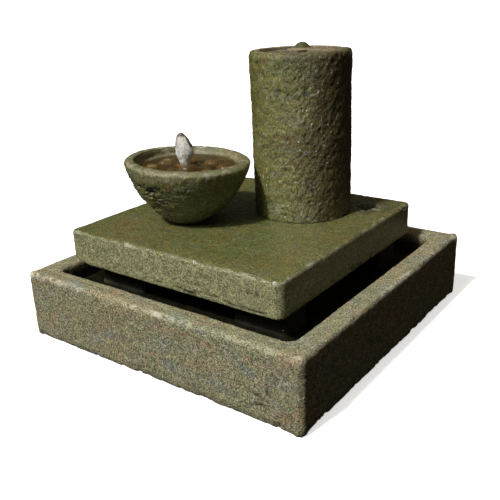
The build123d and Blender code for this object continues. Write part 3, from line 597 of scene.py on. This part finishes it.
def carve_bowl():
    """Rock layers on the outside, most of all at the front left, and a worn lip that is thinned inside."""
    piece = remeshed("bowl", "bowl_stone_shell", 1.0 * MM)
    p, n = read(piece.data)
    q = p - np.array([BOWL_AT.x, BOWL_AT.y, SLAB_TOP])
    out = np.hypot(q[:, 0], q[:, 1])
    outward = (n[:, 0] * q[:, 0] + n[:, 1] * q[:, 1]) / np.maximum(out, 1e-6) - n[:, 2]
    skin = ramp(outward, 0.2, 0.7) * (out > 20 * MM)
    low = ramp(q[:, 2], 64 * MM, 54 * MM) * skin
    # Rock layers show most on the front left.
    facing = (-0.95 * q[:, 0] - 0.30 * q[:, 1]) / np.maximum(out, 1e-6)
    rocky = low * (0.25 + 0.75 * ramp(facing, -0.30, 0.30))
    layers = ridge(p, (26 * MM, 26 * MM, 6.5 * MM), 0.24, 303, 3)
    ledges = fractal(p, (18 * MM, 18 * MM, 5.5 * MM), 4, 305, 0.6)
    crack = ridge(p, (22 * MM, 22 * MM, 55 * MM), 0.09, 311, 3)
    lift = skin * (0.5 * MM * fractal(p, 42 * MM, 2, 313) + 0.55 * MM * fractal(p, 6 * MM, 3, 315, 0.65))
    lift += rocky * (1.8 * MM * ledges - 1.9 * MM * layers - 2.6 * MM * crack)
    lip = ramp(q[:, 2], 64 * MM, 72 * MM)
    lift += lip * (0.35 * MM * fractal(p, 18 * MM, 3, 321) + 0.28 * MM * fractal(p, 4 * MM, 2, 323))
    inward = -(n[:, 0] * q[:, 0] + n[:, 1] * q[:, 1]) / np.maximum(out, 1e-6)
    lift -= 2.4 * MM * ramp(q[:, 2], 69 * MM, 73 * MM) * ramp(inward, 0.0, 0.5)
    p = p + n * lift[:, None]
    p[:, 2] = np.maximum(p[:, 2], SLAB_TOP)
    inner = (1 - skin) * (out < 63 * MM) * ramp(q[:, 2], 76 * MM, 70 * MM)
    paint = {
        # The lip is painted pale: wear, and painted highlight along the rim.
        "wear_and_sheen": lip * (0.10 + 0.55 * ramp(fractal(p, 7 * MM, 3, 331, 0.65), 0.0, 0.9)),
        # Rock layers, cracks and the inside above the water are painted dark: painted shade.
        "painted_shade": rocky * np.clip(0.85 * layers + crack, 0, 1) + 0.35 * inner,
        "film": 0.20 * inner,
    }
    carve(piece, p, paint)
    return piece


def carve_pier(node):
    """A rough block, painted dark with shade."""
    piece = remeshed(node, node + "_stone", 2.5 * MM)
    p, n = read(piece.data)
    face = np.abs(n[:, 2]) < 0.8
    pits = ramp(noise(p, 7 * MM, 411), 0.6, 0.95) * face
    lift = face * (0.7 * MM * fractal(p, 22 * MM, 3, 401) + 0.5 * MM * fractal(p, 6 * MM, 2, 403))
    lift -= 0.8 * MM * pits
    p = p + n * lift[:, None]
    # Painted shade darkens the piers, least of all the left one at the front, which catches some light under
    # the slab.
    pier_shade = ramp(p[:, 0] - 0.4 * p[:, 1], -105 * MM, -60 * MM)
    carve(piece, p, {"painted_shade": 0.3 * pits + 0.45 + 0.54 * pier_shade})
    return piece


def carve_pebbles():
    """The CAD's stones, remeshed and worn to less even shapes."""
    piece = remeshed("bowl_pebbles", "bowl_river_pebbles", 1.0 * MM)
    p, n = read(piece.data)
    p = p + n * (0.9 * MM * fractal(p, 12 * MM, 2, 501) + 0.2 * MM)[:, None]
    carve(piece, p)
    return piece


# ---------------------------------------------------------------- water

def lathe(name, profile, rings=96, wobble=None):
    """A closed mesh turned from (radius, height) points that start and end on the axis."""
    vertices, faces = [], []
    starts = []
    for r, z in profile:
        starts.append(len(vertices))
        turns = 1 if r < 1e-7 else rings
        for k in range(turns):
            a = 2 * math.pi * k / rings
            vertices.append((r * math.cos(a), r * math.sin(a), z))
    for i in range(len(profile) - 1):
        a, b = starts[i], starts[i + 1]
        lone_a, lone_b = profile[i][0] < 1e-7, profile[i + 1][0] < 1e-7
        for k in range(rings):
            m = (k + 1) % rings
            if lone_a:
                faces.append((a, b + m, b + k))
            elif lone_b:
                faces.append((a + k, a + m, b))
            else:
                faces.append((a + k, a + m, b + m, b + k))
    mesh = bpy.data.meshes.new(name)
    mesh.from_pydata(vertices, [], faces)
    if wobble:
        places, normals = read(mesh)
        moved = wobble(places, normals)
        mesh.vertices.foreach_set("co", moved.reshape(-1).astype(np.float32))
    mesh.update()
    smooth(mesh)
    return add_object(name, mesh)


def bowl_water():
    """Fills the bowl to its water line and stands up a little round the jet. Its own surface stays level."""
    depth = BOWL_SPHERE_Z - BOWL_WATER
    reach = math.sqrt(BOWL_SPHERE**2 - depth**2)
    profile = [(0, BOWL_WATER)]
    profile += [(reach * i / 60, BOWL_WATER) for i in range(1, 61)]
    steep = math.asin(reach / BOWL_SPHERE)
    for i in range(1, 26):
        angle = steep * (1 - i / 26)
        profile.append((BOWL_SPHERE * math.sin(angle), BOWL_SPHERE_Z - BOWL_SPHERE * math.cos(angle)))
    profile.append((0, BOWL_SPHERE_Z - BOWL_SPHERE))

    def ripple(p, _):
        out = np.hypot(p[:, 0], p[:, 1])
        surface = p[:, 2] > BOWL_WATER - 1e-6
        rings = 0.55 * MM * np.cos(out / (4.2 * MM) * 2 * math.pi / 2) * np.exp(-out / (24 * MM))
        chop = 0.35 * MM * fractal(p, 11 * MM, 2, 601)
        mound = 2.5 * MM * np.exp(-((out / (9 * MM)) ** 2))
        inside = ramp(out, reach, reach - 5 * MM)
        p[:, 2] += surface * inside * (rings + chop + mound)
        return p

    piece = lathe("bowl_pool_water", profile, 120, ripple)
    piece.location = (BOWL_AT.x, BOWL_AT.y, SLAB_TOP)
    return piece


JET_BASE = SLAB_TOP + BOWL_WATER - 2 * MM
# The jet is a fan that leans back to the left. In millimetres: height, then left and right edge from the axis.
JET_SHAPE = ((0, -5.5, 6.0), (4, -5.5, 6.0), (10, -7.5, 9.0), (16, -10.0, 12.0), (22, -10.4, 12.0),
             (27, -10.2, 10.4), (31, -9.8, 8.4), (35, -9.2, 6.0), (38, -8.2, 3.8), (40.6, -6.4, 1.6),
             (42.4, -3.6, -1.2))
JET_TURN = math.radians(36.7)


def bowl_jet():
    """A short aerated jet, wider than it is thick."""
    rings, rows = 48, 64
    table = np.array(JET_SHAPE) * MM
    heights = np.linspace(0, table[-1, 0], rows)
    left, right = (np.interp(heights, table[:, 0], table[:, k]) for k in (1, 2))
    turn = np.linspace(0, 2 * math.pi, rings, endpoint=False)
    middle, half = (left + right) / 2, (right - left) / 2
    across = middle[:, None] + half[:, None] * np.cos(turn)
    through = 0.62 * half[:, None] * np.sin(turn)
    u, v = across.ravel(), through.ravel()
    z = np.repeat(heights, rings)
    spine = np.repeat(middle, rings)
    c, s = math.cos(JET_TURN), math.sin(JET_TURN)
    p = np.stack([u * c - v * s, u * s + v * c, z], 1)
    ripple = 0.45 * MM * fractal(p, 5 * MM, 3, 611) * ramp(z, 2 * MM, 10 * MM)
    away = p - np.stack([spine * c, spine * s, z], 1)
    p = p + away / np.maximum(np.linalg.norm(away, axis=1), 1e-6)[:, None] * ripple[:, None]
    faces = []
    for r in range(0, (rows - 1) * rings, rings):
        for k in range(rings):
            m = (k + 1) % rings
            faces.append([r + k, r + m, r + rings + m, r + rings + k])
    faces.append(list(range(rings - 1, -1, -1)))
    faces.append([(rows - 1) * rings + k for k in range(rings)])
    mesh = bpy.data.meshes.new("bowl_jet_water")
    mesh.from_pydata([tuple(v) for v in p], [], faces)
    piece = add_object("bowl_jet_water", mesh)
    # The upper rim and the tip are painted dark, more on the right: painted refraction of the dark room
    # through the clear edge.
    rim = np.abs(np.tile(np.cos(turn), rows))
    upper = ramp(z, 21 * MM, 27 * MM)
    right_side = np.tile(np.cos(turn) > 0, rows)
    edge = upper * ramp(rim, 0.55, 0.85) * np.where(right_side, 1.0, 0.6)
    edge = np.maximum(edge, ramp(z, 36.0 * MM, 40.0 * MM))
    carve(piece, p, {"edge": 0.95 * edge, "base": ramp(z, 9 * MM, 0)})
    piece.location = (BOWL_AT.x, BOWL_AT.y, JET_BASE)
    return piece


def column_water():
    """Water that wells out of the column: a thin flat film in the dish and a low dome over the pipe."""
    floor = COLUMN_HIGH.z - 5.5 * MM
    level = COLUMN_HIGH.z - 0.3 * MM
    reach = 49.5 * MM
    profile = [(0, level)] + [(reach * i / 80, level) for i in range(1, 81)]
    profile += [(reach, floor), (0, floor)]

    def well(p, _):
        out = np.hypot(p[:, 0] - 2 * MM, p[:, 1] - 1 * MM)
        surface = p[:, 2] > level - 1e-6
        mound = 8.8 * MM * np.exp(-((out / (9.4 * MM)) ** 3))
        chop = 0.22 * MM * fractal(p, 8 * MM, 2, 621) * (1 + 3 * np.exp(-((out / (16 * MM)) ** 2)))
        p[:, 2] += surface * (mound + ramp(out, reach, reach - 6 * MM) * chop)
        return p

    piece = lathe("column_top_water", profile, 120, well)
    places, _ = read(piece.data)
    over_pipe = ramp(np.hypot(places[:, 0], places[:, 1]), 19 * MM, 15 * MM)
    flat = ramp(places[:, 2], level + 3 * MM, level + 0.8 * MM)
    # The dome over the pipe is painted opaque and dark green: painted reflection in the water; where flat it
    # takes the wet stone's colour.
    carve(piece, places, {"dark_reflection": over_pipe, "pale": over_pipe * flat})
    piece.location = (COLUMN_AT.x + COLUMN_LEAN[0], COLUMN_AT.y + COLUMN_LEAN[1], 0)
    return piece


def basin_water():
    """The pool in the basin, a thin closed sheet down to just above the floor."""
    half = BASIN_HIGH.x - BASIN_WALL + 0.8 * MM
    steps = 90
    mesh = bpy.data.meshes.new("basin_pool_water")
    vertices, faces = [], []
    for level in (BASIN_WATER, BASIN_FLOOR + 0.5 * MM):
        for j in range(steps + 1):
            for i in range(steps + 1):
                vertices.append((-half + 2 * half * i / steps, -half + 2 * half * j / steps, level))
    row, sheet = steps + 1, (steps + 1) ** 2
    for j in range(steps):
        for i in range(steps):
            a = j * row + i
            faces.append((a, a + 1, a + row + 1, a + row))
            faces.append((sheet + a, sheet + a + row, sheet + a + row + 1, sheet + a + 1))
    loop = list(range(row)) + [j * row + steps for j in range(1, row)]
    loop += [steps * row + i for i in range(steps - 1, -1, -1)] + [j * row for j in range(steps - 1, 0, -1)]
    for a, b in zip(loop, loop[1:] + loop[:1]):
        faces.append((b, a, sheet + a, sheet + b))
    mesh.from_pydata(vertices, [], faces)
    places, _ = read(mesh)
    surface = places[:, 2] > BASIN_WATER - 1e-6
    places[:, 2] += surface * 0.7 * MM * fractal(places, 26 * MM, 2, 631)
    mesh.vertices.foreach_set("co", places.reshape(-1).astype(np.float32))
    mesh.update()
    smooth(mesh)
    return add_object("basin_pool_water", mesh)


# ---------------------------------------------------------------- camera, floor and light

def place_camera(at, azimuth, elevation, roll, lens):
    """A camera at a point. Azimuth 0 looks along +Y; roll tips the horizon."""
    a, e, r = (math.radians(v) for v in (azimuth, elevation, roll))
    ahead = Vector((-math.sin(a) * math.cos(e), math.cos(a) * math.cos(e), -math.sin(e)))
    level = Vector((math.cos(a), math.sin(a), 0))
    down = ahead.cross(level)
    right = level * math.cos(r) + down * math.sin(r)
    up = right.cross(ahead)
    camera = bpy.data.objects.new("camera", bpy.data.cameras.new("camera"))
    camera.data.lens = lens
    camera.data.sensor_width = 36
    camera.data.clip_start = 0.01
    turn = Matrix((right, up, -ahead)).transposed()
    camera.matrix_world = Matrix.Translation(at) @ turn.to_4x4()
    bpy.context.scene.collection.objects.link(camera)
    bpy.context.scene.camera = camera


def floor_material():
    """Pale paper, faintly lit from behind so that it stays pale from every side."""
    s = Shader("stage_paper")
    tone = s.noise(3, 2, 0.5)
    s.colour(s.mix(s.span(tone, 0.3, 0.7), (0.83, 0.83, 0.82), (0.86, 0.86, 0.85)))
    s.set(Roughness=0.95, Specular_IOR_Level=0.1, Emission_Color=(1, 1, 1, 1), Emission_Strength=0.62)
    s.material.cycles.emission_sampling = "NONE"
    return s.material


def build_stage():
    """A pale floor that slopes up far away, a key light from the front left and a dim room."""
    vertices, faces, around = [], [], 96
    for reach, height in ((4.0, 0.0), (9.0, 2.6), (11.0, 4.6)):
        for k in range(around):
            turn = 2 * math.pi * k / around
            vertices.append((reach * math.cos(turn), reach * math.sin(turn), height - 0.2 * MM))
    faces.append(tuple(range(around)))
    for ring in range(2):
        for k in range(around):
            a, b = ring * around + k, ring * around + (k + 1) % around
            faces.append((a, b, b + around, a + around))
    mesh = bpy.data.meshes.new("stage_floor")
    mesh.from_pydata(vertices, [], faces)
    floor = add_object("stage_floor", mesh)
    floor.data.materials.append(floor_material())
    # The paper throws no light back on the stone, as in a dark room.
    floor.visible_diffuse = False
    floor.visible_glossy = False
    key = bpy.data.lights.new("key", "SUN")
    key.energy = 3.2
    key.angle = math.radians(4.5)
    glancing = bpy.data.lights.new("glancing", "SUN")
    glancing.energy = 0.75
    glancing.angle = math.radians(2)
    softbox = bpy.data.lights.new("softbox", "AREA")
    softbox.shape = "DISK"
    softbox.size = 1.3
    softbox.energy = 24
    for light, height in ((key, 50), (softbox, 50), (glancing, 20)):
        azimuth, height = math.radians(-10), math.radians(height)
        level = math.cos(height)
        toward = Vector((math.sin(azimuth) * level, -math.cos(azimuth) * level, math.sin(height)))
        lamp = bpy.data.objects.new(light.name, light)
        lamp.rotation_euler = toward.to_track_quat("Z", "Y").to_euler()
        lamp.location = 2.6 * toward
        bpy.context.scene.collection.objects.link(lamp)
    # The room is dark, with a dim ceiling.
    world = bpy.data.worlds.new("studio")
    world.use_nodes = True
    tree = world.node_tree
    place = tree.nodes.new("ShaderNodeTexCoord")
    parts = tree.nodes.new("ShaderNodeSeparateXYZ")
    ceiling = tree.nodes.new("ShaderNodeMapRange")
    for key_name, number in (("From Min", 0.50), ("From Max", 0.72), ("To Min", 0.015), ("To Max", 0.24)):
        ceiling.inputs[key_name].default_value = number
    background = tree.nodes["Background"]
    background.inputs["Color"].default_value = (1.0, 0.90, 0.68, 1)
    tree.links.new(place.outputs["Generated"], parts.inputs["Vector"])
    tree.links.new(parts.outputs["Z"], ceiling.inputs["Value"])
    tree.links.new(ceiling.outputs["Result"], background.inputs["Strength"])
    bpy.context.scene.world = world
    bpy.context.scene.view_settings.view_transform = "Standard"


# ---------------------------------------------------------------- the fountain

def build_stonework():
    olive = dict(green=(0.094, 0.106, 0.024), ochre=(0.150, 0.100, 0.024), grey=(0.120, 0.130, 0.062))
    dry = stone("dry_basin_stone", (0.245, 0.215, 0.125), (0.215, 0.215, 0.125), (0.275, 0.190, 0.110),
                (0.200, 0.215, 0.180), wet=0.05, grain=1.35, patchy=0.8,
                edge=((BASIN_LOW + BASIN_HIGH) / 2, BASIN_HIGH.x, BASIN_HIGH.z))
    damp_and_shaded = stone("damp_pier_stone", (0.150, 0.140, 0.060), (0.110, 0.125, 0.045), (0.17, 0.12, 0.04),
                 (0.13, 0.14, 0.09), 0.5)
    wet_slab = stone("wet_slab_stone", (0.126, 0.120, 0.036), wet=0.75, grain=1.3, patchy=0.8,
                     edge=(SLAB_AT, SLAB_HALF, SLAB_TOP), **olive)
    wet_column = stone("wet_column_stone", (0.152, 0.146, 0.036), wet=0.95, grain=1.15,
                       glint=7.5 * MM, **olive)
    wet_bowl = stone("wet_bowl_stone", (0.160, 0.155, 0.058), wet=0.8, glint=4.5 * MM, **olive)
    stand_in(carve_basin(), "basin", "basin_stone", dry, "basin")
    stand_in(carve_slab(), "slab", "slab_stone", wet_slab, "slab")
    stand_in(carve_column(), "column", "column_stone", wet_column, "column")
    stand_in(carve_bowl(), "bowl", "bowl_stone", wet_bowl, "bowl")
    for node in [n for n in nodes if n.startswith("riser_pier_")]:
        stand_in(carve_pier(node), "basin", "pier_stone", damp_and_shaded, node)
    pebbles = pebble_stone("wet_river_pebble")
    stand_in(carve_pebbles(), "bowl", "pebble", pebbles, "bowl_pebbles")


def build_water():
    amber = water("bowl_water", (0.115, 0.066, 0.018), 0.50)
    clear = water("column_water", (0.20, 0.18, 0.13), 0.22)
    # The basin's pool is a nearly black, nearly opaque sheet: painted shade and reflection from under the
    # slab.
    dark_reflection = water("basin_water", (0.014, 0.014, 0.007), 0.85)
    for piece, body, material in ((bowl_water(), "bowl", amber), (bowl_jet(), "bowl", froth("jet_water")),
                                  (column_water(), "column", clear), (basin_water(), "basin", dark_reflection)):
        piece.data.materials.append(material)
        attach(piece, body)


def dress_fittings():
    """Every CAD node that stays gets its finish from its slot in the record."""
    finishes = {
        "pump_plastic": fitting("pump_satin_plastic", (0.016, 0.016, 0.018), (0.040, 0.040, 0.044), 0.45),
        "pipe_plastic": fitting("pipe_gloss_plastic", (0.020, 0.020, 0.022), (0.045, 0.045, 0.048), 0.28),
        "lever_plastic": fitting("lever_red_plastic", (0.30, 0.030, 0.020), (0.42, 0.055, 0.035), 0.38),
        "rubber": fitting("soft_rubber", (0.018, 0.018, 0.018), (0.038, 0.037, 0.035), 0.82, 0.0, 420, 0.3),
        "clip_steel": fitting("zinc_steel", (0.50, 0.50, 0.49), (0.66, 0.66, 0.65), 0.34, 1.0),
        "nozzle_brass": fitting("wet_brass", (0.36, 0.24, 0.08), (0.58, 0.42, 0.16), 0.30, 1.0),
        "ceramic": fitting("ground_ceramic", (0.74, 0.73, 0.69), (0.86, 0.85, 0.81), 0.30),
        "magnet": fitting("ferrite_magnet", (0.05, 0.05, 0.053), (0.085, 0.085, 0.09), 0.48, 0.4, 500, 0.25),
        "clear_tube": clear_hose("clear_vinyl"),
    }
    for part in frame["record"]["subparts"]:
        finish = finishes.get(part["material_slot"])
        if finish:
            mesh = nodes[part["node"]].data
            mesh.materials.clear()
            mesh.materials.append(finish)


place_camera((488.8 * MM, -659.7 * MM, 405.0 * MM), azimuth=36.74, elevation=21.06, roll=2.05, lens=48.6)
build_stage()
build_stonework()
build_water()
dress_fittings()
